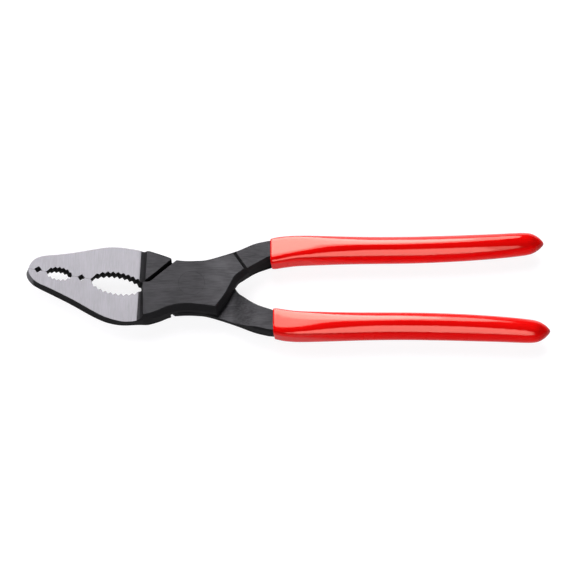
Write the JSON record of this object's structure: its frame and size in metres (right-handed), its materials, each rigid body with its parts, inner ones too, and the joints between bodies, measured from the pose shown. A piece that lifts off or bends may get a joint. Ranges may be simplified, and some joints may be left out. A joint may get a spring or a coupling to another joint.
{
  "type": "cone pliers",
  "caption": "Slim-headed cone pliers with flat ground jaws, toothed oval openings, a riveted lap joint and dipped plastic grips.",
  "frame": {"origin": "rivet axis at the rear joint face", "axes": "+X from the joint towards the handle ends, +Y towards the upper handle, +Z along the rivet towards the front joint face"},
  "size_m": [0.1995, 0.0464, 0.01],
  "materials": {
    "lever_steel": "black oxide on the joint and shanks, bright ground flats on the jaws",
    "rivet_steel": "black oxide, ground flush with the joint faces",
    "grip_plastic": "glossy red dipped plastic"
  },
  "bodies": {
    "rear_half": {"rear_lever": "lever_steel", "rear_grip": "grip_plastic", "pivot_rivet": "rivet_steel"},
    "front_half": {"front_lever": "lever_steel", "front_grip": "grip_plastic"}
  },
  "joints": [
    {"name": "jaw_pivot", "type": "hinge", "parent": "rear_half", "child": "front_half", "pos_m": [0, 0, 0], "axis": [0, 0, 1], "range_deg": [0, 35]}
  ]
}
